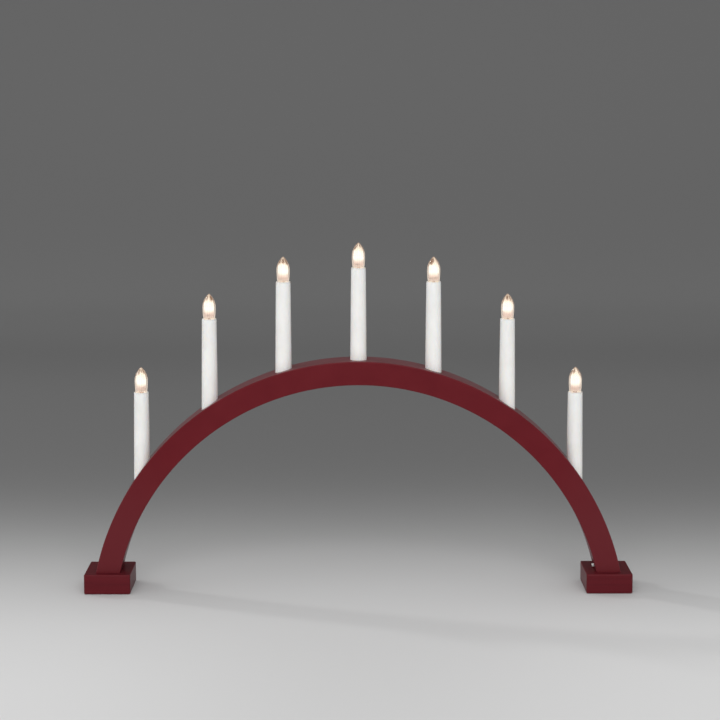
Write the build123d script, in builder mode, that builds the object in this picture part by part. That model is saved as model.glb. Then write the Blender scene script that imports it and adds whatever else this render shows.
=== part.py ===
"""Candle arch: a painted wooden bow on two feet, with seven electric candles wired in series.

Millimetres, +Z up. The origin is on the floor, midway between the feet and midway through the depth.
"""

import os
from math import asin, cos, degrees, pi, radians, sin, sqrt

from build123d import *

os.makedirs("parts", exist_ok=True)

# Arch: a bow of rectangular section on one circle, cut level where it stands on the feet
arch_outer_radius = 285.0
arch_thickness = 25.0
arch_depth = 34.0
crown_height = 247.5

# Feet
foot_width = 49.0
foot_depth = 50.0
foot_height = 21.0
foot_edge_chamfer = 0.8

# Foot screws
screw_diameter = 4.0
screw_head_diameter = 8.0
screw_head_height = 2.6
screw_length = 40.0
screw_recess = 1.0
screw_spacing = 14.0
screw_clearance = 0.1

# Places of the candles round the arch to each side of the middle one, in degrees from its crown,
# and how deep each tube sits, on its axis
candle_angles = (16.2, 33.65, 54.0)
middle_seat_depth = 8.1
seat_depths = (11.7, 14.7, 23.5)

# Candle tubes
tube_length = 105.0
tube_bottom_diameter = 17.5
tube_top_diameter = 15.5
tube_bore = 14.2
tube_swell = 0.05
tube_clearance = 0.05

# Wire groove under the arch, its cover strip and the holes that lead up to the tubes
groove_width = 6.0
groove_depth = 5.0
cover_width = 10.0
cover_thickness = 1.5
cover_clearance = 0.05
wire_hole_diameter = 8.0

# Lamp holders: a flange on the tube's mouth, a wide mouth for the glass and a bore for the screw shell
holder_clearance = 0.05
holder_flange = 1.0
holder_flange_setback = 0.1
holder_floor = 2.5
mouth_depth = 4.0
contact_room = 7.9
mouth_diameter = 13.2
terminal_hole_diameter = 2.8
terminal_offset = 2.0

# Screw shells and lamp caps
cap_diameter = 9.5
cap_clearance = 0.1
shell_wall = 0.3
shell_clearance = 0.05
cap_top_depth = 3.5
cap_barrel_length = 9.5
cap_tip_length = 2.6
cap_tip_diameter = 4.0

# Lamp glass: a ribbed envelope that swells slowly to a belly and closes in a pointed top
glass_ribs = 16
glass_diameter = 13.8
glass_mouth_diameter = 12.2
glass_wall = 0.6
glass_height = 26.5
belly_bottom = 10.0
belly_top = 13.0
glass_tip_diameter = 1.4
taper_power = 1.8
taper_steps = 4

# Stem, leads and filament in the lamp
flare_gap = 0.15
flare_thickness = 0.8
stem_width = 3.2
stem_thickness = 1.6
stem_height = 6.0
lead_diameter = 0.6
lead_spread = 1.6
filament_height = 11.0
filament_span = 5.2

# Contact leaf under the lamp
leaf_thickness = 0.4
leaf_width = 3.6
leaf_foot_length = 6.0
leaf_pad_length = 4.6

# Wires: two lanes side by side in the groove
wire_diameter = 1.2
wire_sides = 6
wire_lane = 0.7
wire_bend = 2.0
wire_end_gap = 0.3
wire_height_in_groove = 3.5

# Cord inlet bush, low on the inner face of the right leg
bush_rise = 3.0
bush_diameter = 4.0
bush_nipple_diameter = 3.5
bush_nipple_length = 2.0
bush_flange_diameter = 5.0
bush_flange_thickness = 1.0
bush_bore = 2.7
bush_lead_in = 3.4
bush_clearance = 0.05

# Places that follow from the sizes
arch_inner_radius = arch_outer_radius - arch_thickness
arch_centre_z = crown_height - arch_outer_radius
groove_radius = arch_inner_radius + groove_depth
cover_radius = arch_inner_radius + cover_thickness
wire_radius = arch_inner_radius + wire_height_in_groove
foot_top_drop = foot_height - arch_centre_z
cap_shoulder_depth = cap_top_depth + cap_barrel_length
cap_tip_depth = cap_shoulder_depth + cap_tip_length
shell_bottom = cap_tip_depth + contact_room
holder_length = shell_bottom + holder_floor


def height_on_circle(radius, x):
    """Height above the floor at which the arch's circle of this radius passes x."""
    return arch_centre_z + sqrt(radius**2 - x**2)


def reach_at_foot(radius):
    """Distance from the middle at which the arch's circle of this radius meets the top of a foot."""
    return sqrt(radius**2 - foot_top_drop**2)


leg_x = (reach_at_foot(arch_outer_radius) + reach_at_foot(arch_inner_radius)) / 2
side_offsets = [arch_outer_radius * sin(radians(angle)) for angle in candle_angles]
offsets = [-x for x in reversed(side_offsets)] + [0.0] + side_offsets
depths = list(reversed(seat_depths)) + [middle_seat_depth] + list(seat_depths)
seats = [height_on_circle(arch_outer_radius, x) - d for x, d in zip(offsets, depths)]
rims = [z + tube_length + holder_flange for z in seats]
candles = list(zip(offsets, seats, rims))


def upright(x, z, y=0.0):
    """Sketch plane that faces the front, with its origin at x, y, z and its second axis up."""
    return Plane(origin=(x, y, z), x_dir=(1, 0, 0), z_dir=(0, -1, 0))


def axis_up(x, y=0.0):
    """Vertical axis through x, y."""
    return Axis((x, y, 0), (0, 0, 1))


def save(part, name):
    """Label a finished piece and write it as its own file."""
    part.label = name
    export_step(part, f"parts/{name}.step")


# Arch, with its candle seats, wire holes, wire groove, cover rebate and screw pilots
screw_places = [(side * leg_x, y) for side in (-1, 1) for y in (-screw_spacing / 2, screw_spacing / 2)]
pilot_depth = screw_recess + screw_length - foot_height

with BuildPart() as arch:
    with BuildSketch(upright(0, arch_centre_z)):
        Circle(arch_outer_radius)
        Circle(arch_inner_radius, mode=Mode.SUBTRACT)
        with Locations((0, foot_top_drop)):
            Rectangle(
                3 * arch_outer_radius,
                3 * arch_outer_radius,
                align=(Align.CENTER, Align.MAX),
                mode=Mode.SUBTRACT,
            )
    extrude(amount=arch_depth / 2, both=True)
    for ceiling, width in ((groove_radius, groove_width), (cover_radius, cover_width)):
        with BuildSketch(upright(0, arch_centre_z)):
            Circle(ceiling)
        extrude(amount=width / 2, both=True, mode=Mode.SUBTRACT)
    for x, seat, rim in candles:
        with Locations((x, 0, seat)):
            Cylinder(
                tube_bottom_diameter / 2 + tube_clearance,
                tube_length,
                align=(Align.CENTER, Align.CENTER, Align.MIN),
                mode=Mode.SUBTRACT,
            )
            Cylinder(
                wire_hole_diameter / 2,
                seat - foot_height,
                align=(Align.CENTER, Align.CENTER, Align.MAX),
                mode=Mode.SUBTRACT,
            )
    with Locations(*[(x, y, foot_height) for x, y in screw_places]):
        Cylinder(
            screw_diameter / 2 + screw_clearance,
            pilot_depth + screw_clearance,
            align=(Align.CENTER, Align.CENTER, Align.MIN),
            mode=Mode.SUBTRACT,
        )
save(arch.part, "arch")

# Feet, drilled and counterbored from below
for name, side in (("left_foot", -1), ("right_foot", 1)):
    with BuildPart() as foot:
        with Locations((side * leg_x, 0, 0)):
            Box(
                foot_width,
                foot_depth,
                foot_height,
                align=(Align.CENTER, Align.CENTER, Align.MIN),
            )
        top_edges = foot.faces().sort_by(Axis.Z)[-1].edges()
        chamfer(foot.edges().filter_by(Axis.Z) + top_edges, foot_edge_chamfer)
        for y in (-screw_spacing / 2, screw_spacing / 2):
            with Locations(Location((side * leg_x, y, 0), (180, 0, 0))):
                CounterBoreHole(
                    screw_diameter / 2 + screw_clearance,
                    screw_head_diameter / 2 + screw_clearance,
                    screw_recess + screw_head_height,
                )
    save(foot.part, name)

# Foot screws: flat head in the counterbore, plain shank up through the foot into the leg
with BuildPart() as foot_screws:
    for x, y in screw_places:
        with BuildSketch(upright(x, screw_recess, y)):
            with BuildLine():
                Polyline(
                    (0, 0),
                    (screw_head_diameter / 2, 0),
                    (screw_head_diameter / 2, screw_head_height),
                    (screw_diameter / 2, screw_head_height),
                    (screw_diameter / 2, screw_length),
                    (0, screw_length),
                    close=True,
                )
            make_face()
        revolve(axis=axis_up(x, y))
save(foot_screws.part, "foot_screws")

# Cord inlet bush: a plane on the inner face of the right leg, facing the middle of the arch
bush_angle = asin((foot_top_drop + bush_rise) / arch_inner_radius)
bush_plane = Plane(
    origin=(
        arch_inner_radius * cos(bush_angle),
        0,
        arch_centre_z + arch_inner_radius * sin(bush_angle),
    ),
    x_dir=(0, 1, 0),
    z_dir=(-cos(bush_angle), 0, -sin(bush_angle)),
)

# Groove cover: a flush strip in the rebate, with a hole for the bush
with BuildPart() as groove_cover:
    with BuildSketch(upright(0, arch_centre_z)):
        Circle(cover_radius - cover_clearance)
        Circle(arch_inner_radius, mode=Mode.SUBTRACT)
        with Locations((0, foot_top_drop)):
            Rectangle(
                3 * arch_outer_radius,
                3 * arch_outer_radius,
                align=(Align.CENTER, Align.MAX),
                mode=Mode.SUBTRACT,
            )
    extrude(amount=cover_width / 2 - cover_clearance, both=True)
    with Locations(bush_plane.location):
        Cylinder(bush_diameter / 2 + bush_clearance, 4 * cover_thickness, mode=Mode.SUBTRACT)
save(groove_cover.part, "groove_cover")

with BuildPart(bush_plane) as cord_inlet_bush:
    Cylinder(
        bush_diameter / 2,
        cover_thickness,
        align=(Align.CENTER, Align.CENTER, Align.MAX),
    )
    Cylinder(
        bush_nipple_diameter / 2,
        bush_nipple_length,
        align=(Align.CENTER, Align.CENTER, Align.MIN),
    )
    with Locations((0, 0, -cover_thickness)):
        Cylinder(
            bush_flange_diameter / 2,
            bush_flange_thickness,
            align=(Align.CENTER, Align.CENTER, Align.MAX),
        )
    Cylinder(
        bush_bore / 2,
        2 * (bush_nipple_length + cover_thickness + bush_flange_thickness),
        mode=Mode.SUBTRACT,
    )
    with Locations((0, 0, -cover_thickness - bush_flange_thickness)):
        Cylinder(
            bush_lead_in / 2,
            bush_flange_thickness,
            align=(Align.CENTER, Align.CENTER, Align.MIN),
            mode=Mode.SUBTRACT,
        )
save(cord_inlet_bush.part, "cord_inlet_bush")


# Wires
def wire_top(rim):
    """Height at which a wire ends in the floor of a lamp holder."""
    return rim - holder_length + holder_floor - wire_end_gap


def angle_at(x):
    """Direction from the arch's centre to the wire in the groove at x, in degrees from +X."""
    return 90 - degrees(asin(x / wire_radius))


def drop(x, rim):
    """The two ends of a wire's upright run, from a lamp holder down to the groove."""
    return (x, wire_top(rim)), (x, height_on_circle(wire_radius, x))


def run_along_groove(start_angle, end_angle):
    """Arc of a wire in the groove, between two directions from the arch's centre."""
    CenterArc((0, arch_centre_z), wire_radius, start_angle, end_angle - start_angle)


def inlet_run():
    """The two ends of a wire's last run, from the groove out through the bush."""
    outer = (wire_radius * cos(bush_angle), arch_centre_z + wire_radius * sin(bush_angle))
    end_radius = arch_inner_radius - bush_nipple_length
    inner = (end_radius * cos(bush_angle), arch_centre_z + end_radius * sin(bush_angle))
    return outer, inner


def thicken(run):
    """Insulated wire along a finished run."""
    path = run.wire()
    with BuildSketch(Plane(origin=path @ 0, z_dir=path % 0)) as section:
        RegularPolygon(wire_diameter / 2, wire_sides)
    sweep(section.sketch, path=path)


front_lane = Plane.XZ.offset(wire_lane)
back_lane = Plane.XZ.offset(-wire_lane)

with BuildPart() as link_wires:
    for (x_from, _, rim_from), (x_to, _, rim_to) in zip(candles, candles[1:]):
        start_x = x_from + terminal_offset
        end_x = x_to - terminal_offset
        with BuildLine(front_lane) as run:
            first = Line(*drop(start_x, rim_from))
            run_along_groove(angle_at(start_x), angle_at(end_x))
            last = Line(*reversed(drop(end_x, rim_to)))
            fillet([first.vertices()[-1], last.vertices()[0]], wire_bend)
        thicken(run)
save(link_wires.part, "link_wires")

for name, lane, (x_lamp, _, rim_lamp), shift in (
    ("supply_wire", front_lane, candles[-1], terminal_offset),
    ("return_wire", back_lane, candles[0], -terminal_offset),
):
    inlet_outer, inlet_inner = inlet_run()
    with BuildPart() as end_wire:
        with BuildLine(lane) as run:
            first = Line(*drop(x_lamp + shift, rim_lamp))
            run_along_groove(angle_at(x_lamp + shift), degrees(bush_angle))
            last = Line(inlet_outer, inlet_inner)
            fillet(first.vertices()[-1], wire_bend)
            fillet(last.vertices()[0], wire_diameter)
        thicken(run)
    save(end_wire.part, name)

# Candle tubes: open at both ends, with a taper that bows out very slightly, as on a dipped candle
tube_bottom = (tube_bottom_diameter / 2, 0)
tube_waist = ((tube_bottom_diameter + tube_top_diameter) / 4 + tube_swell, tube_length / 2)
tube_top = (tube_top_diameter / 2, tube_length)
for number, (x, seat, rim) in enumerate(candles, start=1):
    with BuildPart() as candle_tube:
        with BuildSketch(upright(x, seat)):
            with BuildLine():
                ThreePointArc(tube_bottom, tube_waist, tube_top)
                Polyline(tube_top, (tube_bore / 2, tube_length), (tube_bore / 2, 0), tube_bottom)
            make_face()
        revolve(axis=axis_up(x))
    save(candle_tube.part, f"candle_tube_{number}")

# Lamp holders, hung in the tube mouths by their flanges
holder_radius = tube_bore / 2 - holder_clearance
shell_inner_radius = cap_diameter / 2 + cap_clearance
shell_outer_radius = shell_inner_radius + shell_wall
shell_bore_radius = shell_outer_radius + shell_clearance

with BuildPart() as lamp_holders:
    for x, seat, rim in candles:
        with BuildSketch(upright(x, rim)):
            with BuildLine():
                Polyline(
                    (0, -holder_length),
                    (holder_radius, -holder_length),
                    (holder_radius, -holder_flange),
                    (tube_top_diameter / 2 - holder_flange_setback, -holder_flange),
                    (tube_top_diameter / 2 - holder_flange_setback, 0),
                    (mouth_diameter / 2, 0),
                    (mouth_diameter / 2, -mouth_depth),
                    (shell_bore_radius, -mouth_depth),
                    (shell_bore_radius, -shell_bottom),
                    (0, -shell_bottom),
                    close=True,
                )
            make_face()
        revolve(axis=axis_up(x))
        with Locations((x - terminal_offset, 0, rim), (x + terminal_offset, 0, rim)):
            Cylinder(terminal_hole_diameter / 2, 2 * (holder_length + holder_floor), mode=Mode.SUBTRACT)
save(lamp_holders.part, "lamp_holders")

# Screw shells, each standing on the floor of its holder
with BuildPart() as screw_shells:
    for x, seat, rim in candles:
        with BuildSketch(Plane((x, 0, rim - shell_bottom))):
            Circle(shell_outer_radius)
            Circle(shell_inner_radius, mode=Mode.SUBTRACT)
        extrude(amount=shell_bottom - mouth_depth)
save(screw_shells.part, "screw_shells")


# Lamps
def glass_levels(inset):
    """Height and radius of each ribbed section, from the cap to the tip, moved in by inset."""
    belly = glass_diameter / 2
    tip = glass_tip_diameter / 2
    levels = [
        (-cap_top_depth, cap_diameter / 2),
        (0, glass_mouth_diameter / 2),
        (belly_bottom, belly),
        (belly_top, belly),
    ]
    for step in range(1, taper_steps + 1):
        share = step / taper_steps
        height = belly_top + share * (glass_height - belly_top)
        levels.append((height, belly - (belly - tip) * share**taper_power))
    return [(height, radius - inset) for height, radius in levels]


def ribbed_solid(x, rim, levels):
    """Closed solid of flat ribs between the sections, about the upright axis of a lamp."""
    corners = range(glass_ribs)
    turns = [2 * pi * corner / glass_ribs for corner in corners]
    rings = [
        [Vector(x + radius * cos(turn), radius * sin(turn), rim + height) for turn in turns]
        for height, radius in levels
    ]
    flats = [Face(Wire.make_polygon(rings[0])), Face(Wire.make_polygon(rings[-1]))]
    for low, high in zip(rings, rings[1:]):
        for this in corners:
            after = (this + 1) % glass_ribs
            flats.append(Face(Wire.make_polygon([low[this], low[after], high[after], high[this]])))
    return Solid(Shell(flats))


outer_levels = glass_levels(0)
inner_levels = glass_levels(glass_wall)[:-1]

for number, (x, seat, rim) in enumerate(candles, start=1):
    with BuildPart() as bulb_glass:
        add(ribbed_solid(x, rim, outer_levels))
        add(ribbed_solid(x, rim, inner_levels), mode=Mode.SUBTRACT)
    save(bulb_glass.part, f"bulb_glass_{number}")

    with BuildPart() as bulb_cap:
        with BuildSketch(upright(x, rim)):
            with BuildLine():
                Polyline(
                    (0, -cap_top_depth),
                    (cap_diameter / 2, -cap_top_depth),
                    (cap_diameter / 2, -cap_shoulder_depth),
                    (cap_tip_diameter / 2, -cap_shoulder_depth),
                    (cap_tip_diameter / 2, -cap_tip_depth),
                    (0, -cap_tip_depth),
                    close=True,
                )
            make_face()
        revolve(axis=axis_up(x))
    save(bulb_cap.part, f"bulb_cap_{number}")

    stem_top = stem_height - cap_top_depth
    with BuildPart() as bulb_filament:
        with BuildSketch(Plane((x, 0, rim - cap_top_depth))):
            RegularPolygon(cap_diameter / 2 - glass_wall - flare_gap, glass_ribs)
        extrude(amount=flare_thickness)
        with BuildSketch(Plane((x, 0, rim - cap_top_depth))):
            Rectangle(stem_width, stem_thickness)
        extrude(amount=stem_height)
        with BuildLine(upright(x, rim)) as leads:
            Polyline(
                (-lead_spread / 2, stem_top - lead_diameter),
                (-filament_span / 2, filament_height),
                (filament_span / 2, filament_height),
                (lead_spread / 2, stem_top - lead_diameter),
            )
        lead_path = leads.wire()
        with BuildSketch(Plane(origin=lead_path @ 0, z_dir=lead_path % 0)):
            RegularPolygon(lead_diameter / 2, wire_sides)
        sweep(path=lead_path, transition=Transition.RIGHT)
    save(bulb_filament.part, f"bulb_filament_{number}")

    # Contact leaf: foot on the holder's floor, slanted spring arm, pad under the tip of the cap
    with BuildPart() as contact_leaf:
        with BuildSketch(upright(x, rim)):
            with BuildLine():
                Polyline(
                    (-leaf_foot_length / 2, -shell_bottom),
                    (leaf_foot_length / 2, -shell_bottom),
                    (-leaf_pad_length / 2, -cap_tip_depth - leaf_thickness),
                    (leaf_pad_length / 2, -cap_tip_depth - leaf_thickness),
                )
                offset(amount=leaf_thickness, kind=Kind.INTERSECTION, side=Side.LEFT)
            make_face()
        extrude(amount=leaf_width / 2, both=True)
    save(contact_leaf.part, f"contact_leaf_{number}")
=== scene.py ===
# %% [markdown]
# # A candle arch, dressed for the camera
#
# A candle arch stands on a window sill in winter. It is a painted wooden bow on two wooden feet, with
# seven white candle tubes, each with a small ribbed lamp screwed into its mouth. The solid model was
# made elsewhere and comes in as a fixed frame. This lesson puts a finer skin on it: every new piece is
# a surface worked out with numpy, and every finish is made from shader nodes.
#
# The first cell loads the frame.

import bmesh
import bpy
import numpy as np
from math import radians
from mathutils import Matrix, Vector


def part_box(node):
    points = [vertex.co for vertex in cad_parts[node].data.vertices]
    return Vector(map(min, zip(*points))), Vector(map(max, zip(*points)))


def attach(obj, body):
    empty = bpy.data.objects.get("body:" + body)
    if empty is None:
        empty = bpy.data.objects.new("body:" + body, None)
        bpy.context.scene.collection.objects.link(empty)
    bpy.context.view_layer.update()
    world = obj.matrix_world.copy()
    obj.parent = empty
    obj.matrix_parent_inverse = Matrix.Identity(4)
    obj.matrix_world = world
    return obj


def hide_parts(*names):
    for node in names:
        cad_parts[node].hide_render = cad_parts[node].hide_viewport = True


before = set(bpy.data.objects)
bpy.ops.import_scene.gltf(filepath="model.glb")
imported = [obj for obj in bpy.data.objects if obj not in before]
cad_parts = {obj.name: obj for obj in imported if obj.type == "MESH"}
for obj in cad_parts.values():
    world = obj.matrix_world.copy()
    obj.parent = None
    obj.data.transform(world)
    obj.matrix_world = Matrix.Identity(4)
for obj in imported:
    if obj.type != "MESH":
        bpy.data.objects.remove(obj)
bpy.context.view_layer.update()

# %% [markdown]
# ## The camera
#
# The photograph was taken from the front, from above the lamps, with a long lens. The camera looks down
# by about five degrees, and its lens is shifted as well, so that the candles hardly lean apart. A camera
# in Blender has the same shift. Its numbers were found by matching the edges of the feet, the rims of
# the tubes and the circle of the arch.

# %% Camera
look_down = radians(5.057)
look_right = radians(0.302)


def add_object(name, data):
    """A new object with this data, unturned, at the origin."""
    made = bpy.data.objects.new(name, data)
    bpy.context.scene.collection.objects.link(made)
    return made


camera_data = bpy.data.cameras.new("front_camera")
camera_data.sensor_width = 36.0
camera_data.lens = 83.09
camera_data.shift_y = -0.2
camera = add_object("front_camera", camera_data)
camera.location = (-0.0075, -1.7429, 0.5542)
camera.rotation_euler = (radians(90) - look_down, 0.0, -look_right)
bpy.context.scene.camera = camera
bpy.context.scene.view_settings.view_transform = "Standard"
print("camera stands", round(-1000 * camera.location.y), "mm in front of the arch")

# %% [markdown]
# ## From grids of points to a piece
#
# A surface is a function of two parameters, so its points fill a grid with rows and columns. Four
# neighbours make one face. A piece is often made of several such grids that share their borders, so the
# helper welds the borders, closes any loop that is still open, turns the faces outwards, and leaves an
# edge sharp only where two faces meet at a clear angle.

# %% Helpers for pieces
weld_distance = 2e-7


def quads_of(rows, columns, closed):
    """Faces of a grid: point, its right neighbour, the one above that, the one above the point.
    A closed grid joins its last column to its first."""
    index = np.arange(rows * columns).reshape(rows, columns)
    here = index if closed else index[:, :-1]
    right = np.roll(index, -1, axis=1) if closed else index[:, 1:]
    return np.stack([here[:-1], right[:-1], right[1:], here[1:]], axis=-1).reshape(-1, 4)


def keep_marks(mesh, marks):
    """Keep one number for each point, as the attribute named mark."""
    layer = mesh.attributes.new("mark", "FLOAT", "POINT")
    layer.data.foreach_set("value", np.ravel(marks).astype(np.float32))


def keep_tones(mesh, tones):
    """Keep one colour for each point, as the attribute named tone."""
    colours = tones.reshape(-1, 3)
    colours = np.concatenate([colours, np.ones((len(colours), 1))], axis=1)
    layer = mesh.attributes.new("tone", "FLOAT_COLOR", "POINT")
    layer.data.foreach_set("color", colours.astype(np.float32).ravel())


def make_piece(name, grids, finish, body, slot, stands_for=(), sharp=30.0, marks=None, tones=None):
    """One object from grids of points, each given as (points, closed), welded where they meet.
    marks is a list of one array per grid, and tones are the colours of one grid."""
    points = np.concatenate([grid.reshape(-1, 3) for grid, closed in grids])
    counts = np.cumsum([0] + [grid.shape[0] * grid.shape[1] for grid, closed in grids])
    faces = np.concatenate([
        quads_of(*grid.shape[:2], closed) + start for (grid, closed), start in zip(grids, counts)
    ])
    mesh = bpy.data.meshes.new(name)
    mesh.from_pydata(points, [], faces.tolist())
    if marks is not None:
        keep_marks(mesh, np.concatenate([np.ravel(mark) for mark in marks]))
    if tones is not None:
        keep_tones(mesh, tones)
    work = bmesh.new()
    work.from_mesh(mesh)
    bmesh.ops.remove_doubles(work, verts=work.verts, dist=weld_distance)
    open_edges = [edge for edge in work.edges if edge.is_boundary]
    if open_edges:
        bmesh.ops.holes_fill(work, edges=open_edges, sides=0)
    bmesh.ops.recalc_face_normals(work, faces=work.faces)
    work.to_mesh(mesh)
    work.free()
    mesh.shade_smooth()
    mesh.set_sharp_from_angle(angle=radians(sharp))
    mesh.materials.append(finish)
    piece = add_object(name, mesh)
    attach(piece, body)
    if stands_for:
        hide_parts(*stands_for)
    return piece


print("piece helpers ready, weld distance in metres:", weld_distance)

# %% Helpers for surfaces
def once_round(steps):
    """Angles once round a circle, in even steps."""
    return np.linspace(0, 2 * np.pi, steps, endpoint=False)


def round_axis(x, reach, turn, height):
    """Points round the upright axis at x: x plus reach times cosine, reach times sine, and the height."""
    return np.stack(
        [x + reach * np.cos(turn), reach * np.sin(turn), np.broadcast_to(height, reach.shape)], axis=-1
    )


def turned(profile, x, steps=64):
    """A turned surface: each point (radius, height) of the profile goes once round the upright axis
    at x. The first parameter runs along the profile, the second round the axis."""
    radius, height = np.asarray(profile, float).T[..., None]
    return round_axis(x, radius * np.ones(steps), once_round(steps), height)


def along(path, radius, sides=8):
    """A round wire: a circle of this radius carried along the path, square to its direction."""
    ahead = np.gradient(path, axis=0)
    ahead /= np.linalg.norm(ahead, axis=1, keepdims=True)
    across = np.cross(ahead, (0.0, 1.0, 0.0))
    across /= np.linalg.norm(across, axis=1, keepdims=True)
    other = np.cross(across, ahead)
    turn = once_round(sides)[None, :, None]
    circle = np.cos(turn) * across[:, None] + np.sin(turn) * other[:, None]
    return path[:, None] + radius * circle


def rounding(centre, radius, start, end, steps=5):
    """Arc of an edge rounding in a profile, from one direction to another, in degrees."""
    turn = np.radians(np.linspace(start, end, steps + 1))
    return np.stack([centre[0] + radius * np.cos(turn), centre[1] + radius * np.sin(turn)], axis=-1)


def smooth_step(value, start, end):
    """0 below start, 1 above end, and an S-shaped cubic between them."""
    share = np.clip((value - start) / (end - start), 0, 1)
    return share * share * (3 - 2 * share)


print("surface helpers ready")

# %% [markdown]
# ## Where the candles stand
#
# The frame knows the place of every solid, so the lesson measures it instead of guessing. Each tube
# gives the upright axis of its candle, the floor of its seat in the arch, and the rim of its mouth.

# %% Candle places
numbers = range(1, 8)
tube_boxes = [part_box(f"candle_tube_{k}") for k in numbers]
axes = np.array([(low.x + high.x) / 2 for low, high in tube_boxes])
seats = np.array([low.z for low, high in tube_boxes])
tube_tops = np.array([high.z for low, high in tube_boxes])
flange = 0.0010
rims = tube_tops + flange
lamp_places = list(zip(numbers, axes, rims))
print("candle axes in millimetres:", np.round(1000 * axes, 1).tolist())

# %% [markdown]
# ## Shader nodes in few words
#
# A finish is a small network of nodes. The helper named step adds one node and feeds its inputs, with
# plain numbers or with the outputs of other nodes, so that a finish reads as a list of steps. Some steps
# are shared by many finishes: random clouds and streaks, a mix of two colours, and a bump.

# %% Helpers for finishes
def new_finish(name):
    """An empty material with its Principled shader, and the object coordinates to paint with."""
    material = bpy.data.materials.new(name)
    material.use_nodes = True
    shader = material.node_tree.nodes["Principled BSDF"]
    place = material.node_tree.nodes.new("ShaderNodeTexCoord").outputs["Object"]
    return material, shader, place


def feed(material, node, inputs):
    """Give each input of a node its number or colour, or join it to the output of another node."""
    for socket, source in inputs.items():
        if isinstance(source, bpy.types.NodeSocket):
            material.node_tree.links.new(source, node.inputs[socket])
        else:
            node.inputs[socket].default_value = source
    return material


def step(material, kind, inputs=None, **options):
    """One shader node: the options choose what it does, and the inputs are fed."""
    node = material.node_tree.nodes.new("ShaderNode" + kind)
    for option, choice in options.items():
        setattr(node, option, choice)
    feed(material, node, inputs or {})
    return node.outputs


def shades(material, factor, low, high):
    """A ramp between two colours, from where the factor is 0.3 to where it is 0.7."""
    ramp = step(material, "ValToRGB", {"Fac": factor})
    ends = ramp["Color"].node.color_ramp.elements
    ends[0].position, ends[0].color = 0.3, (*low, 1.0)
    ends[1].position, ends[1].color = 0.7, (*high, 1.0)
    return ramp["Color"]


def spread(material, factor, low, high):
    """Stretch a factor from 0..1 to low..high."""
    return step(material, "MapRange", {"Value": factor, "To Min": low, "To Max": high})["Result"]


print("node helpers ready")

# %% Steps that finishes share
def clouds(material, place, scale, detail, roughness=0.5):
    """Soft random clouds from 0 to 1. A larger scale makes them smaller."""
    inputs = {"Vector": place, "Scale": scale, "Detail": detail, "Roughness": roughness}
    return step(material, "TexNoise", inputs)["Fac"]


def streaks(material, place, stretch, detail, roughness=0.5):
    """Random streaks: clouds on stretched coordinates, drawn out where the stretch is smallest."""
    stretched = step(material, "VectorMath", {0: place, 1: stretch}, operation="MULTIPLY")["Vector"]
    return clouds(material, stretched, 1.0, detail, roughness)


def tinted(material, factor, paint, colour):
    """A paint that goes over to a plain colour as the factor goes from 0 to 1."""
    inputs = {"Factor": factor, "A": paint, "B": (*colour, 1.0)}
    return step(material, "Mix", inputs, data_type="RGBA")["Result"]


def bumped(material, height, strength, distance, under=None):
    """The normal of a bumpy skin, laid over another bump where one is given."""
    inputs = {"Height": height, "Strength": strength, "Distance": distance}
    if under is not None:
        inputs["Normal"] = under
    return step(material, "Bump", inputs)["Normal"]


def cloudy_finish(name, scale, detail, colours, roughness):
    """A finish whose colour and roughness drift between two values in one pattern of clouds."""
    material, shader, place = new_finish(name)
    cloud = clouds(material, place, scale, detail)
    feed(material, shader, {
        "Base Color": shades(material, cloud, *colours),
        "Roughness": spread(material, cloud, *roughness),
    })
    return material, shader, place


print("finish helpers ready")

# %% [markdown]
# ## Dark red paint on wood
#
# The bow and the feet are wood under a satin dark red paint. Sprayed paint isn't one flat colour: it is
# a little thicker here and there, it has a fine orange-peel skin, and the grain of the wood raises it in
# long faint lines. On the bow the grain is bent round with the wood. So the pattern is worked out in the
# bow's own polar coordinates: the angle round the arch's centre, the distance from it, and the depth.
# Along the rounded edges the paint is painted paler, as a painted highlight, and on top of the bow paler
# still, as a painted reflection. The attribute named mark carries both. Down the legs the paint is
# painted a little greyer, as a painted reflection of the pale floor.

# %% Coordinates in the bent wood
outer_radius = 0.285
bow_thickness = 0.025
bow_depth = 0.034
wood_radius = 0.27
leg_start, leg_end = radians(45), radians(70)
bow_low, bow_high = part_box("arch")
foot_top = bow_low.z
bow_centre_z = bow_high.z - outer_radius


def round_the_bow(material, place):
    """The place in the bent wood: the way round the bow, the depth, and the distance from the arch's
    centre. The angle from the crown comes with it."""
    moved = step(material, "VectorMath", {0: place, 1: (0.0, 0.0, -bow_centre_z)})["Vector"]
    parts = step(material, "SeparateXYZ", {"Vector": moved})
    angle = step(material, "Math", {0: parts["X"], 1: parts["Z"]}, operation="ARCTAN2")[0]
    length = step(material, "VectorMath", {0: moved}, operation="LENGTH")["Value"]
    way = step(material, "Math", {0: angle, 1: wood_radius}, operation="MULTIPLY")[0]
    in_wood = step(material, "CombineXYZ", {"X": way, "Y": parts["Y"], "Z": length})["Vector"]
    return in_wood, angle


def down_the_legs(material, angle):
    """0 over the crown and 1 down both legs, with a smooth change between two angles."""
    lean = step(material, "Math", {0: angle}, operation="ABSOLUTE")[0]
    inputs = {"Value": lean, "From Min": leg_start, "From Max": leg_end}
    return step(material, "MapRange", inputs, interpolation_type="SMOOTHSTEP")["Result"]


print("arch's centre in millimetres above the floor:", round(1000 * bow_centre_z, 1))

# %% Red paint
grain_stretch = (9.0, 420.0, 420.0)
# Paler red for painted highlights and the painted reflection on top; greyer red for the floor's painted
# reflection.
highlight_paint = (0.156, 0.024, 0.031)
floor_reflection_paint = (0.117, 0.0129, 0.0176)


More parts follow.
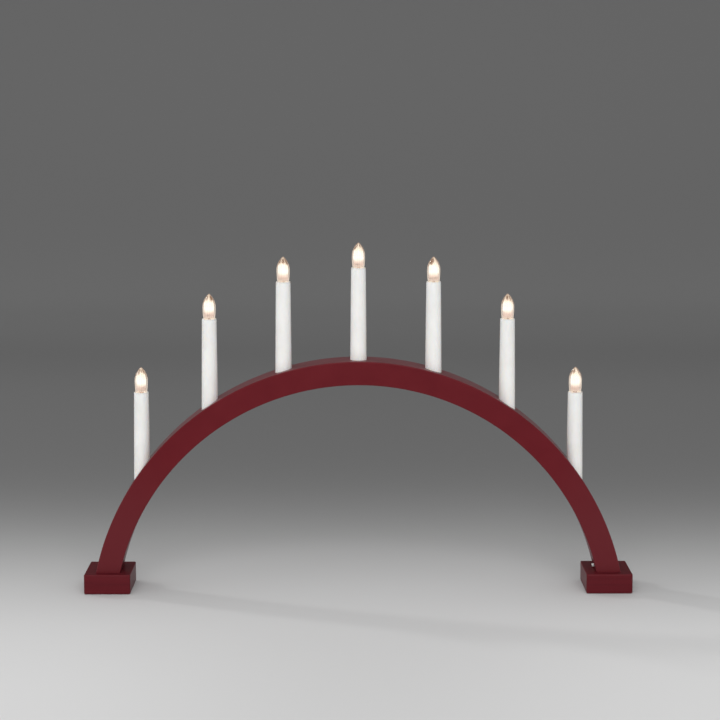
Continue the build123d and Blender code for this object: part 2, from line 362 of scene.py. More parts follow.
def red_paint(name, bent, thick, thin):
    """Satin red paint over wood grain that runs round the bow, or straight across a block. The two
    colours are the paint where its coat is thick and where it is thin: it drifts in clouds on the bow,
    and in streaks along the grain on a block. Where the mark is set, the colour is painted paler, as
    painted highlights on the edges and a painted reflection on top. Down the legs of the bow it is
    painted greyer, as a painted reflection of the pale floor. On the bow, the dust on top adds a pale
    sheen at low angles."""
    material, shader, place = new_finish(name)
    in_wood, angle = round_the_bow(material, place) if bent else (place, None)
    grain = streaks(material, in_wood, grain_stretch, 3.0, 0.6)
    cloud = clouds(material, in_wood, 42.0, 4.0)
    peel = clouds(material, place, 1100.0, 2.0)
    edge = step(material, "Attribute", attribute_name="mark")["Fac"]
    paint = shades(material, cloud if bent else grain, thick, thin)
    if bent:
        # Down the legs the paint turns greyer: a painted reflection of the pale floor.
        paint = tinted(material, down_the_legs(material, angle), paint, floor_reflection_paint)
        dust = spread(material, edge, 0.0, 0.14)
        feed(material, shader, {"Sheen Weight": dust, "Sheen Roughness": 0.35})
    wood = bumped(material, grain, 0.08, 0.0004)
    # The mark turns the colour paler: painted highlights on the edges, a painted reflection on top.
    return feed(material, shader, {
        "Base Color": tinted(material, spread(material, edge, 0.0, 0.9), paint, highlight_paint),
        "Roughness": spread(material, cloud, 0.30, 0.40),
        "Normal": bumped(material, peel, 0.05, 0.0003, wood),
        "Specular IOR Level": 0.13,
    })


bow_paint = red_paint("red_paint_on_bow", True, (0.108, 0.0050, 0.0096), (0.121, 0.0066, 0.0114))
foot_paint = red_paint("red_paint_on_feet", False, (0.088, 0.0066, 0.0108), (0.110, 0.0088, 0.0136))
print("paint ready:", bow_paint.name, foot_paint.name)

# %% [markdown]
# ## The bow
#
# The long edges of the wooden bow are rounded over, and seven holes are drilled straight down for the
# tubes. Blender could cut the holes with a Boolean, but that leaves long thin faces that shade badly.
# Here the bow is a profile carried along an arc, and the strip along its top is laid as patches: plain
# grids between the candles, and round each candle a patch whose inner border is the hole and whose outer
# border is the strip's edge. Every border has the same points on both sides.
#
# The legs are cut level where they stand on the feet, so there each line of the profile has its own end.

# %% Profile of the bow
edge_round = 0.0009
# A line held this close to each rounding keeps the flat faces beside it flat.
hold = 0.00015
cover_gap = 0.00005
cover_depth = 0.0015
cover_low, cover_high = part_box("groove_cover")
cover_half = (cover_high.y - cover_low.y) / 2 + cover_gap
inner_radius = outer_radius - bow_thickness
half_depth = bow_depth / 2
strip_half = half_depth - edge_round - hold
# How much paler the mark paints the top (a painted reflection) and the roundings (painted highlights).
top_painted_reflection, upper_edge_painted_highlight, lower_edge_painted_highlight = 0.6, 0.4, 0.25

back_half = np.concatenate([
    [(strip_half, outer_radius)],
    rounding((half_depth - edge_round, outer_radius - edge_round), edge_round, 90, 0),
    np.stack([
        np.full(4, half_depth),
        np.linspace(outer_radius - edge_round - hold, inner_radius + edge_round + hold, 4),
    ], axis=-1),
    rounding((half_depth - edge_round, inner_radius + edge_round), edge_round, 0, -90),
    [(strip_half, inner_radius), (cover_half + hold, inner_radius), (cover_half, inner_radius)],
    [(cover_half, inner_radius + cover_depth)],
])
bow_profile = np.concatenate([back_half, back_half[::-1] * (-1, 1)])
# Points 1 to 6 of the half profile are its upper rounding, and points 11 to 16 its lower one.
# Painted highlight for each point of the profile: most on top, then the upper and the lower roundings.
profile_painted_light = np.zeros(len(back_half))
profile_painted_light[:2] = top_painted_reflection
profile_painted_light[2:6] = upper_edge_painted_highlight
profile_painted_light[12:16] = lower_edge_painted_highlight
bow_marks = np.concatenate([profile_painted_light, profile_painted_light[::-1]])
print("profile points:", len(bow_profile))

# %% [markdown]
# The sections across the bow come next. Between the candles they are a degree or so apart. From the last
# candle to the foot each line of the profile runs evenly to its own end on the level of the foot's top,
# where the cosine of its angle is the drop divided by its radius.

# %% Sections of the bow
drop = foot_top - bow_centre_z
patch_half = 0.0130
patch_steps = 16
section_angle = radians(0.9)
strip_rows = np.linspace(-strip_half, strip_half, 13)
patch_edges = np.arcsin((axes[:, None] + np.array([-patch_half, patch_half])) / outer_radius)


def leg_angles(radius, side, steps=26):
    """Angles from the last candle's patch to the foot for each radius, one row per section."""
    first = patch_edges[0, 0] if side < 0 else patch_edges[-1, 1]
    last = side * np.arccos(drop / radius)
    share = np.linspace(0, 1, steps + 1)[:, None]
    return first + share * (last - first)


def sweep_bow(lines, angles):
    """Carry profile points (depth, radius) through sections at these angles from the crown: x is the
    radius times sine, and z is the radius times cosine above the arch's centre. Rows are sections."""
    depth, radius = lines.T
    x, z = radius * np.sin(angles), bow_centre_z + radius * np.cos(angles)
    return np.stack([x, np.broadcast_to(depth, x.shape), z], axis=-1)


spans = []
for k, (start, end) in enumerate(patch_edges):
    spans.append(np.linspace(start, end, patch_steps + 1))
    if k + 1 < len(patch_edges):
        next_start = patch_edges[k + 1, 0]
        spans.append(np.linspace(end, next_start, int((next_start - end) / section_angle) + 1))
strip_lines = np.stack([strip_rows, np.full(len(strip_rows), outer_radius)], axis=-1)
print("spans along the bow:", len(spans) + 2)

# %% Seats for the tubes
def loop_round(x_steps, y_steps):
    """Closed loop round a rectangle's border: along the front, up the right, back, down the left."""
    front = [(x, y_steps[0]) for x in x_steps[:-1]]
    right = [(x_steps[-1], y) for y in y_steps[:-1]]
    back = [(x, y_steps[-1]) for x in x_steps[:0:-1]]
    left = [(x_steps[0], y) for y in y_steps[:0:-1]]
    return np.array(front + right + back + left)


def holed_patch(border, centre, radius, rings=7):
    """Rings between a round hole and the border of a rectangle: a point of a ring lies on the line from
    the border point to the hole's circle, in the direction of the hole's centre."""
    arm = border - centre
    on_hole = centre + radius * arm / np.linalg.norm(arm, axis=1, keepdims=True)
    share = (np.linspace(0, 1, rings) ** 1.5)[:, None, None]
    return on_hole + share * (border - on_hole)


def seat_patch(x, seat, span):
    """Top of the bow round one candle, with the eased rim of its hole, the wall and the floor."""
    hole = 0.00880
    ease = 0.0003
    border = loop_round(outer_radius * np.sin(span), strip_rows)
    top = holed_patch(border, np.array([x, 0.0]), hole + ease)
    height = bow_centre_z + np.sqrt(outer_radius**2 - top[..., 0] ** 2)
    top = np.concatenate([top, height[..., None]], axis=-1)[::-1]
    turn = np.linspace(0, np.pi / 2, 4)[1:, None]
    way = (top[-1, :, :2] - (x, 0.0)) / (hole + ease)
    radius = hole + ease * (1 - np.sin(turn))
    sunk = top[-1, :, 2] - ease * (1 - np.cos(turn))
    rim = np.stack([x + radius * way[:, 0], radius * way[:, 1], sunk], axis=-1)
    wall = rim[-1:].copy()
    wall[..., 2] = seat
    floor = wall.copy()
    floor[..., :2] = (x, 0.0)
    return np.concatenate([top, rim, wall, floor])


bow_grids, bow_grid_marks = [], []


def add_to_bow(grid, closed, marks):
    """One more grid of the bow, with its marks."""
    bow_grids.append((grid, closed))
    bow_grid_marks.append(np.broadcast_to(marks, grid.shape[:2]))


# Spans with a candle and spans between two candles take turns.
for index, span in enumerate(spans):
    add_to_bow(sweep_bow(bow_profile, span[:, None]), False, bow_marks)
    if index % 2 == 0:
        add_to_bow(seat_patch(axes[index // 2], seats[index // 2], span), True, top_painted_reflection)
    else:
        add_to_bow(sweep_bow(strip_lines, span[:, None]), False, top_painted_reflection)
for side in (-1, 1):
    for lines, marks in ((bow_profile, bow_marks), (strip_lines, top_painted_reflection)):
        add_to_bow(sweep_bow(lines, leg_angles(lines[:, 1], side)), False, marks)
bow = make_piece(
    "bow", bow_grids, bow_paint, "frame", "red_lacquered_wood", ["arch"], marks=bow_grid_marks
)
print("bow faces:", len(bow.data.polygons))

# %% [markdown]
# ## The cover strip under the bow
#
# A thin painted strip closes the groove that the wires run in. It lies flush in its rebate, and only a
# hair line shows along both sides. It is the same sweep as the bow, with its own flat profile and very
# small roundings.

# %% Cover strip
cover_reach = cover_half - cover_gap
cover_round = 0.0003
cover_top = inner_radius + cover_depth - cover_gap
cover_back = np.concatenate([
    [(cover_reach / 2, inner_radius)],
    [(cover_reach - cover_round - hold, inner_radius)],
    rounding((cover_reach - cover_round, inner_radius + cover_round), cover_round, -90, 0, 3),
    [(cover_reach, cover_top)],
])
cover_profile = np.concatenate([cover_back, cover_back[::-1] * (-1, 1)])
cover_ends = np.arccos(drop / cover_profile[:, 1])
cover_grid = sweep_bow(cover_profile, np.linspace(-1, 1, 181)[:, None] * cover_ends)
cover = make_piece(
    "cover_strip", [(cover_grid, True)], bow_paint, "frame", "red_lacquered_wood", ["groove_cover"],
    marks=[np.zeros(cover_grid.shape[:2])],
)
print("cover faces:", len(cover.data.polygons))

# %% [markdown]
# ## The feet
#
# Each foot is a planed block with eased edges, and underneath two counterbored holes for the screws that
# hold the leg. A cube with a Bevel modifier would come close, but the holes would need a Boolean again.
# So the block is a rectangle's border with an outward direction at each of its points: pushed out by a
# few steps at each height, it makes the roundings, and pushed out by nothing it is the plain rectangle
# that the underside's two holed patches meet.

# %% Feet
plan_round = 0.0016
top_round = 0.0010
base_round = 0.0014
# The top edges of each foot are painted paler, as a painted highlight.
foot_edge_painted_highlight = 0.25
screw_offset = 0.007
counterbore_radius = 0.0041
counterbore_depth = 0.0036
shank_hole_share = 0.5
side_steps, corner_steps = 12, 5


def pushed_loop(half_x, half_y):
    """Border of a rectangle, and the outward direction at each point, which turns at the corners."""
    corners = np.array([(-half_x, -half_y), (half_x, -half_y), (half_x, half_y), (-half_x, half_y)])
    share = np.linspace(0, 1, side_steps + 1)[:, None]
    points, ways = [], []
    for k in range(4):
        facing = radians(-90 + 90 * k)
        points.append(corners[k] + share * (corners[(k + 1) % 4] - corners[k]))
        ways.append(np.tile([np.cos(facing), np.sin(facing)], (side_steps + 1, 1)))
        turn = facing + np.radians(np.linspace(0, 90, corner_steps + 1)[1:-1])
        points.append(np.tile(corners[(k + 1) % 4], (corner_steps - 1, 1)))
        ways.append(np.stack([np.cos(turn), np.sin(turn)], axis=-1))
    return np.concatenate(points), np.concatenate(ways)


def foot_block(name):
    """A block in the place of the foot's solid: rings of a pushed border, and the holes below."""
    low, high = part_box(name)
    centre = np.array([(low.x + high.x) / 2, (low.y + high.y) / 2])
    half_x = (high.x - low.x) / 2 - plan_round
    half_y = (high.y - low.y) / 2 - plan_round
    core, ways = pushed_loop(half_x, half_y)
    top = high.z
    levels = np.concatenate([
        [(0.0, 0.0), (plan_round - base_round - hold, 0.0)],
        rounding((plan_round - base_round, base_round), base_round, -90, 0, 3),
        [(plan_round, base_round + hold), (plan_round, top / 2), (plan_round, top - top_round - hold)],
        rounding((plan_round - top_round, top - top_round), top_round, 0, 90),
        [(plan_round - top_round - hold, top), (0.0, top)],
    ])
    flat = centre + core + levels[:, None, :1] * ways
    block = np.concatenate([flat, np.broadcast_to(levels[:, None, 1:], flat.shape[:2] + (1,))], axis=-1)
    marks = np.zeros(block.shape[:2])
    on_top_edge = slice(9, 13)
    # Painted highlight on the top edges of the foot.
    marks[on_top_edge] = foot_edge_painted_highlight
    grids, grid_marks = [(block, True)], [marks]
    x_steps = centre[0] + np.linspace(-half_x, half_x, side_steps + 1)
    y_steps = centre[1] + np.linspace(-half_y, half_y, side_steps + 1)
    middle = side_steps // 2
    for y_part, y_hole in ((y_steps[:middle + 1], -screw_offset), (y_steps[middle:], screw_offset)):
        hole = np.array([centre[0], y_hole])
        under = holed_patch(loop_round(x_steps, y_part), hole, counterbore_radius)[::-1]
        under = np.concatenate([under, np.zeros(under.shape[:2] + (1,))], axis=-1)
        wall = under[-1:].copy()
        wall[..., 2] = counterbore_depth
        shank = wall.copy()
        shank[..., :2] = hole + (wall[..., :2] - hole) * shank_hole_share
        grids.append((np.concatenate([under, wall, shank]), True))
        grid_marks.append(np.zeros((len(under) + 2, under.shape[1])))
    return make_piece(
        name + "_block", grids, foot_paint, "frame", "red_lacquered_wood", [name], marks=grid_marks
    )


feet = [foot_block(name) for name in ("left_foot", "right_foot")]
print("feet faces:", [len(foot.data.polygons) for foot in feet])

# %% [markdown]
# ## White candle tubes
#
# The tubes are moulded in a white plastic that lets a little light through, slightly wider at the foot
# than at the mouth. A turned profile is all they need. The finish has a soft skin: a faint drift in the
# white, long draw lines from the mould, and a little light that travels under the surface.

# %% White plastic
draw_stretch = (1500.0, 1500.0, 25.0)


def white_plastic(name, low, high, rough):
    """Moulded white: a cloudy tint, draw lines that run upright, and a little depth under the skin."""
    material, shader, place = cloudy_finish(name, 60.0, 3.0, (low, high), (rough - 0.05, rough + 0.07))
    lines = streaks(material, place, draw_stretch, 2.0)
    return feed(material, shader, {
        "Normal": bumped(material, lines, 0.04, 0.0002),
        "Subsurface Weight": 0.25,
        "Subsurface Radius": (1.0, 0.75, 0.55),
        "Subsurface Scale": 0.0015,
    })


tube_white = white_plastic("candle_white", (0.82, 0.81, 0.785), (0.87, 0.86, 0.84), 0.32)
holder_white = white_plastic("holder_white", (0.74, 0.73, 0.70), (0.79, 0.78, 0.75), 0.38)
bush_white = white_plastic("bush_white", (0.87, 0.87, 0.85), (0.91, 0.91, 0.89), 0.30)
print("white plastics ready")

# %% Tubes
tube_foot, tube_mouth, bore, swell = 0.00875, 0.00775, 0.0071, 0.00005
tube_lip, bore_ease = 0.00035, 0.0001


def tube_profile(low, high):
    """Outline of a tube: up the outside, which leans in, over the rounded rim and down the bore."""
    rise = np.linspace(0, 1, 13)
    lean = tube_foot + (tube_mouth - tube_foot) * rise + 4 * swell * rise * (1 - rise)
    outside = np.stack([lean, low + rise * (high - tube_lip - low)], axis=-1)
    rim = rounding((tube_mouth - tube_lip, high - tube_lip), tube_lip, 0, 90, 4)
    inside = [(bore + bore_ease, high), (bore, high - bore_ease), (bore, low)]
    return np.concatenate([outside, rim, inside, outside[:1]])


tubes = [
    make_piece(
        f"candle_{k}", [(turned(tube_profile(seat, top), x), True)], tube_white, "frame", "ivory_tube",
        [f"candle_tube_{k}"], sharp=40.0,
    )
    for k, x, seat, top in zip(numbers, axes, seats, tube_tops)
]
print("tube faces:", len(tubes[0].data.polygons))

# %% [markdown]
# ## Lamp holders
#
# A holder hangs in the mouth of each tube by a thin flange. Its wide mouth clears the glass and its bore
# holds the threaded shell. Again it is a turned profile, and the seven of them are one piece, because
# they are one part in the frame.

# %% Holders
holder_mouth, holder_waist, holder_bore = 0.0066, 0.00705, 0.0052
mouth_depth, bore_depth, holder_length = 0.0040, 0.0235, 0.0260
mouth_draft, mouth_ease = 0.00001, 0.0001
flange_radius, flange_lip = 0.00765, 0.0006


def holder_profile(rim):
    """Outline of a holder: down from the flange's top, round the outside, and up the stepped bore."""
    mouth_edge = [(holder_mouth + mouth_draft, rim - mouth_ease)]
    return np.concatenate([
        mouth_edge,
        [(holder_mouth + mouth_ease, rim)],
        rounding((flange_radius - flange_lip, rim - flange_lip), flange_lip, 90, 0, 4),
        [(flange_radius, rim - flange), (holder_waist, rim - flange)],
        [(holder_waist, rim - holder_length), (0.0, rim - holder_length)],
        [(0.0, rim - bore_depth), (holder_bore, rim - bore_depth)],
        [(holder_bore, rim - mouth_depth), (holder_mouth, rim - mouth_depth)],
        mouth_edge,
    ])


holders = make_piece(
    "holders", [(turned(holder_profile(rim), x), True) for x, rim in zip(axes, rims)], holder_white,
    "frame", "white_moulding", ["lamp_holders"],
)
print("holder faces:", len(holders.data.polygons))

# %% [markdown]
# ## Plated brass and the thread
#
# The lamp's cap and the shell that it screws into share one thread. On a screw surface the radius
# depends only on the height less the turn's share of the pitch, so the cap slides along its own surface
# as it turns and rises, and it never touches the shell. That is one formula for both, with a small gap.

# %% Plated metal
turning_stretch = (300.0, 300.0, 6000.0)
dark_glass = (0.020, 0.018, 0.022)


def plated(name, low, high):
    """A plated metal with cloudy plating and fine draw lines. Where the attribute named mark is 1, it is
    the dark glass that keeps a lamp's tip apart from its cap."""
    material, shader, place = new_finish(name)
    cloud = clouds(material, place, 350.0, 4.0)
    lines = streaks(material, place, turning_stretch, 2.0)
    glassy = step(material, "Attribute", attribute_name="mark")["Fac"]
    return feed(material, shader, {
        "Base Color": tinted(material, glassy, shades(material, cloud, low, high), dark_glass),
        "Metallic": spread(material, glassy, 1.0, 0.0),
        "Roughness": spread(material, cloud, 0.2, 0.42),
        "Normal": bumped(material, lines, 0.06, 0.0001),
    })


plated_brass = plated("plated_brass", (0.66, 0.60, 0.46), (0.78, 0.74, 0.62))
zinc_plate = plated("zinc_plate", (0.50, 0.50, 0.52), (0.62, 0.62, 0.63))
print("metals ready")

# %% Caps
pitch = 0.001814
thread_depth = 0.00035
thread_steps = 48
cap_radius, lid_radius = 0.00475, 0.0044
cap_start, cap_end, cap_run_out = 0.0035, 0.0124, 0.0009
cap_shoulder = [(cap_radius, 0.0126), (0.0046, 0.0129), (0.0043, 0.0130)]
cap_insulator = [(0.0030, 0.0130), (0.0020, 0.0137)]
cap_solder = [(0.0020, 0.0146), (0.0019, 0.0152), (0.0013, 0.0155), (0.0, 0.0156)]


def threaded(radius, heights, x, fade):
    """A screw surface: the radius swings by the thread's depth with the height less the turn's share of
    the pitch. The fade, from 0 to 1 for each height, runs the thread out at its ends."""
    turn = once_round(thread_steps)
    wave = np.cos(2 * np.pi * heights[:, None] / pitch - turn)
    reach = radius - thread_depth / 2 * (1 - wave) * fade[:, None]
    return round_axis(x, reach, turn, heights[:, None])


def below_rim(outline, x, rim):
    """A turned surface whose outline is given as (radius, depth below the holder's rim)."""
    return turned([(radius, rim - depth) for radius, depth in outline], x, thread_steps)


def cap_grid(x, rim):
    """A lamp's cap: lip, thread, shoulder, insulator and the solder tip, as one closed surface. Its mark
    is 1 on the insulator."""
    heights = np.linspace(rim - cap_start, rim - cap_end, 90)
    fade = np.clip(np.minimum(heights[0] - heights, heights - heights[-1]) / cap_run_out, 0, 1)
    lid = below_rim([(0.0, cap_start), (lid_radius, cap_start)], x, rim)
    barrel = threaded(cap_radius, heights, x, fade)
    end = below_rim(cap_shoulder + cap_insulator + cap_solder, x, rim)
    grid = np.concatenate([lid, barrel, end])
    first = len(lid) + len(barrel) + len(cap_shoulder)
    mark = np.zeros(grid.shape[:2])
    mark[first:first + len(cap_insulator)] = 1.0
    return grid, mark


def lamp_piece(title, k, grid, finish, slot, stands_for=(), **more):
    """A piece of lamp k, made of one closed grid, that turns and rises with the lamp."""
    return make_piece(f"{title}_{k}", [(grid, True)], finish, f"bulb_{k}", slot, stands_for, **more)


for k, x, rim in lamp_places:
    grid, mark = cap_grid(x, rim)
    cap = lamp_piece("cap", k, grid, plated_brass, "plated_brass", [f"bulb_cap_{k}"], marks=[mark])
print("cap faces:", len(cap.data.polygons))

# %% Shells
shell_inside, shell_outside = 0.00485, 0.00515
shell_thread_end, shell_run_out = 0.0160, 0.0010


def shell_grid(x, rim):
    """A shell: the same screw surface a hair wider, with a plain outside, closed at both ends."""
    heights = np.linspace(rim - mouth_depth, rim - bore_depth, 150)
    fade = np.clip((heights - (rim - shell_thread_end)) / shell_run_out, 0, 1)
    inside = threaded(shell_inside, heights, x, fade)
    outside = below_rim([(shell_outside, bore_depth), (shell_outside, mouth_depth)], x, rim)
    return np.concatenate([inside, outside, inside[:1]])


shells = make_piece(
    "shells", [(shell_grid(x, rim), True) for x, rim in zip(axes, rims)], plated_brass, "frame",
    "plated_brass", ["screw_shells"],
)
print("shell faces:", len(shells.data.polygons))

# %% [markdown]
# ## Ribbed glass
#
# The small lamps have a pointed envelope of clear glass with sixteen upright ribs. Each rib is a weak
# lens, so the filament shows as a row of bright streaks. A bump map can't do that in glass, so the ribs
# are real: the radius is the envelope's smooth outline, less a shallow groove between two ribs. The
# inside of the glass is smooth.

# %% Glass
ribs = 16
rib_depth = 0.00030
glass_wall = 0.0006
glass_height = 0.0265
neck_depth, neck_radius = 0.0035, 0.0061
belly_height, belly_swell = 0.0110, 0.0008
draw_start, draw_in = 0.0125, 0.0062


def lamp_glass(name):
    """Clear glass with a trace of warmth and the faintest unevenness of blown glass. The light that it
    catches is in the attribute named tone."""
    warmth = ((1.0, 0.95, 0.89), (1.0, 0.98, 0.95))
    material, shader = cloudy_finish(name, 220.0, 2.0, warmth, (0.02, 0.08))[:2]
    return feed(material, shader, {
        "Transmission Weight": 1.0,
        "IOR": 1.46,
        "Emission Color": step(material, "Attribute", attribute_name="tone")["Color"],
        "Emission Strength": 1.0,
    })


def envelope(height):
    """Smooth outline of the glass: a neck, a slow swell to the belly, a power curve that draws in above
    it, and a small round closing at the tip."""
    neck = np.interp(height, [-neck_depth, 0.0], [cap_radius, neck_radius])
    swell_in = np.clip(height / belly_height, 0, 1)
    belly = neck_radius + belly_swell * np.sin(np.pi / 2 * swell_in)
    share = np.clip((height - draw_start) / (glass_height - draw_start), 0, 1)
    drawn_in = belly - draw_in * share**2.1
    return np.where(height < 0, neck, drawn_in * np.sqrt(1 - share**24))


def ribbed_wall(x, rim, rise, turn, groove):
    """The envelope with its ribs outside and a smooth wall inside, joined round the neck. The inside ends
    four rows short of the tip."""
    radius = envelope(rise)
    depth = rib_depth * np.clip((rise + 0.0015) / 0.003, 0, 1) * np.clip(radius / 0.0045, 0, 1)
    outer = radius[:, None] - depth[:, None] * groove
    inner = np.maximum(radius - glass_wall - depth, 0.0)[:-4, None] * np.ones(len(turn))
    reach = np.concatenate([inner[::-1], outer])
    reach[0] = 0.0
    level = np.concatenate([rise[:-4][::-1], rise])
    return round_axis(x, reach, turn, rim + level[:, None])


def caught_light(rise, groove):
    """The light that the outside of the glass catches: weaker and browner towards the tip, where the ribs
    stand out."""
    caught = np.interp(rise, [0.0, 0.004, 0.007, 0.014, 0.020], [0.22, 0.20, 0.18, 0.15, 0.05])[:, None]
    near_tip = np.clip((rise - 0.0170) / 0.005, 0, 1)[:, None]
    caught = caught + 0.08 * near_tip * (1 - groove) ** 2
    brown = np.clip((rise - 0.0120) / 0.006, 0, 1)[:, None, None]
    colour = (1 - brown) * np.array([1.0, 0.84, 0.70]) + brown * np.array([1.0, 0.66, 0.45])
    return caught[..., None] * colour


clear_glass = lamp_glass("ribbed_glass")
glass_turn = once_round(ribs * 8)
glass_groove = 1 - np.abs(np.cos(ribs / 2 * glass_turn))
glass_rise = np.concatenate([
    np.linspace(-neck_depth, 0.018, 30), glass_height - (np.linspace(1, 0, 26)[1:] ** 2) * 0.0088,
])
for k, x, rim in lamp_places:
    points = ribbed_wall(x, rim, glass_rise, glass_turn, glass_groove)
    tone = np.zeros(points.shape)
    tone[-len(glass_rise):] = caught_light(glass_rise, glass_groove)
    glass = lamp_piece(
        "glass", k, points, clear_glass, "lamp_glass", [f"bulb_glass_{k}"], sharp=80.0, tones=tone
    )
    glass.visible_shadow = False
print("glass faces:", len(glass.data.polygons))

# %% [markdown]
# ## Stem, leads and filament
#
# Inside, a pressed glass stem carries two lead wires, and a fine coil hangs between them. The leads and
# the coil are circles carried along a path, and the coil's path is a screw line round a shallow sag. The
# coil is hot, so it gives light of its own.

# %% Filament finish
def hot_wire(name):
    """Glowing tungsten, a little brighter in places along the coil."""
    material, shader, place = new_finish(name)
    cloud = clouds(material, place, 900.0, 1.0)
    return feed(material, shader, {
        "Base Color": (0.3, 0.28, 0.26, 1.0),
        "Metallic": 1.0,
        "Roughness": 0.4,
        "Emission Color": shades(material, cloud, (1.0, 0.62, 0.30), (1.0, 0.74, 0.44)),
        "Emission Strength": 60.0,
    })


def stem_glass(name):
    """The pressed stem: milky, warm, and lit from close by."""
    milky = ((0.55, 0.36, 0.27), (0.72, 0.52, 0.42))
    material, shader = cloudy_finish(name, 700.0, 2.0, milky, (0.15, 0.35))[:2]
    return feed(material, shader, {"Transmission Weight": 0.3})


hot_coil = hot_wire("hot_coil")
stem_finish = stem_glass("stem_glass")
print("lamp finishes ready")

# %% Stems and coils
flare_radius, pinch_wide, pinch_thin = 0.0035, 0.0016, 0.0008
stem_sunk, stem_length, stem_sides = 0.00335, 0.0060, 24
lead_apart, lead_foot, lead_bulge, lead_wire = 0.0008, 0.0018, 0.0003, 0.00016
coil_half, coil_height, coil_sag = 0.0026, 0.0110, 0.0007
coil_turns, coil_radius, coil_wire = 15, 0.00028, 0.00011


def stem_grid(x, rim):
    """The stem: a wide flare at the cap that narrows and flattens to the pinch that holds the leads."""
    rise = np.linspace(0, 1, 14)
    turn = once_round(stem_sides)
    wide = pinch_wide + (flare_radius - pinch_wide) * (1 - rise) ** 4
    thin = pinch_thin + (flare_radius - pinch_thin) * (1 - rise) ** 4
    wide[-1] = thin[-1] = 0.0
    height = rim - stem_sunk + stem_length * np.minimum(rise / rise[-2], 1)
    across, deep = np.outer(wide, np.cos(turn)), np.outer(thin, np.sin(turn))
    return np.stack([x + across, deep, np.outer(height, np.ones(stem_sides))], axis=-1)


def lead_grid(x, rim, side):
    """A lead wire that leans out from the stem to one end of the coil."""
    share = np.linspace(0, 1, 12)
    out = lead_apart + (coil_half - lead_apart) * share + lead_bulge * np.sin(np.pi * share)
    height = rim + lead_foot + (coil_height - lead_foot) * share
    return along(np.stack([x + side * out, np.zeros(len(share)), height], axis=-1), lead_wire)


def coil_grid(x, rim):
    """The coil: a screw line of fifteen turns round a line that sags between the leads."""
    share = np.linspace(0, 1, coil_turns * 10 + 1)
    turn = 2 * np.pi * coil_turns * share
    sag = -coil_sag * np.sin(np.pi * share)
    across = x - coil_half + 2 * coil_half * share
    height = rim + coil_height + sag + coil_radius * np.sin(turn)
    return along(np.stack([across, coil_radius * np.cos(turn), height], axis=-1), coil_wire, 6)


for k, x, rim in lamp_places:
    stem = make_piece(
        f"stem_{k}",
        [(stem_grid(x, rim), True), (lead_grid(x, rim, -1), True), (lead_grid(x, rim, 1), True)],
        stem_finish, f"bulb_{k}", "lamp_filament", [f"bulb_filament_{k}"],
    )
    coil = lamp_piece("coil", k, coil_grid(x, rim), hot_coil, "lamp_filament", sharp=60.0)
print("stem faces:", len(stem.data.polygons), "coil faces:", len(coil.data.polygons))

# %% [markdown]
# ## The light in the lamps
#
# A lens sees a lit lamp as a white glare that fills most of the glass and turns warm towards its edge.
# Blender could add glare to the picture afterwards, but that wouldn't be part of the model. Here the
# glare is made of two turned surfaces inside the glass: a bright core round the coil, and a thin lining
# along the glass, a little clear, that glows in a warm tone. Looked through, they add up from any side.
# Near the neck the stem breaks up the light, and towards the tip some gaps between the ribs stay dark.

# %% Glow finish
def glow_finish(name, strength, cover):
    """Light whose tone at each point comes from the attribute named tone, with a faint flicker."""
    material, shader, place = new_finish(name)
    tone = step(material, "Attribute", attribute_name="tone")["Color"]
    flicker = shades(material, clouds(material, place, 260.0, 2.0), (0.92, 0.90, 0.88), (1.0, 1.0, 1.0))
    inputs = {"Factor": 1.0, "A": tone, "B": flicker}
    light = step(material, "Mix", inputs, data_type="RGBA", blend_type="MULTIPLY")["Result"]
    return feed(material, shader, {
        "Base Color": (0.0, 0.0, 0.0, 1.0),
        "Specular IOR Level": 0.0,
        "Emission Color": light,
        "Emission Strength": strength,
        "Alpha": cover,
    })


lining_glow = glow_finish("lining_glow", 1.0, 0.88)
core_glow = glow_finish("core_glow", 3.8, 1.0)
print("glow ready:", lining_glow.name, core_glow.name)

# %% Dark gaps and dull spots
wedge_count, wedge_rise = 7, 0.0030
spot_count, spot_height, spot_turn = 14, 0.0008, 0.35


def turned_away(turn, middle):
    """The turn from a middle direction to each direction, the shorter way round."""
    return np.angle(np.exp(1j * (turn - middle)))


def dark_wedges(rise, turn, seed):
    """Gaps between ribs that stay dark below the tip: a bell curve round the turn for each of seven
    gaps, each with its own strength and lower end, drawn by chance but the same each time for one
    lamp."""
    chance = np.random.default_rng(seed)
    dark = np.zeros((len(rise), len(turn)))
    for gap in chance.permutation(ribs)[:wedge_count]:
        strength = chance.uniform(0.8, 1.4)
        start = chance.uniform(0.0165, 0.0210)
        away = turned_away(turn, 2 * np.pi * (gap + 0.5) / ribs)
        bell = np.exp(-((away / chance.uniform(0.18, 0.32)) ** 2))
        dark += strength * np.outer(smooth_step(rise, start, start + wedge_rise), bell)
    return np.clip(dark, 0, 1) * (1 - 0.5 * smooth_step(rise, 0.0235, 0.0250))[:, None]


def dull_spots(rise, turn, seed):
    """Where the stem and the leads break up the light near the neck: a few soft round spots, each a bell
    curve in height and in turn, placed by chance but the same each time for one lamp."""
    chance = np.random.default_rng(100 + seed)
    dull = np.zeros((len(rise), len(turn)))
    for spot in range(spot_count):
        height, middle = chance.uniform(0.0015, 0.0065), chance.uniform(0, 2 * np.pi)
        up = np.exp(-(((rise - height) / spot_height) ** 2))
        dull += chance.uniform(-0.25, 0.55) * np.outer(
            up, np.exp(-((turned_away(turn, middle) / spot_turn) ** 2))
        )
    return dull


print("dark gaps in each lamp:", wedge_count, "spots:", spot_count)

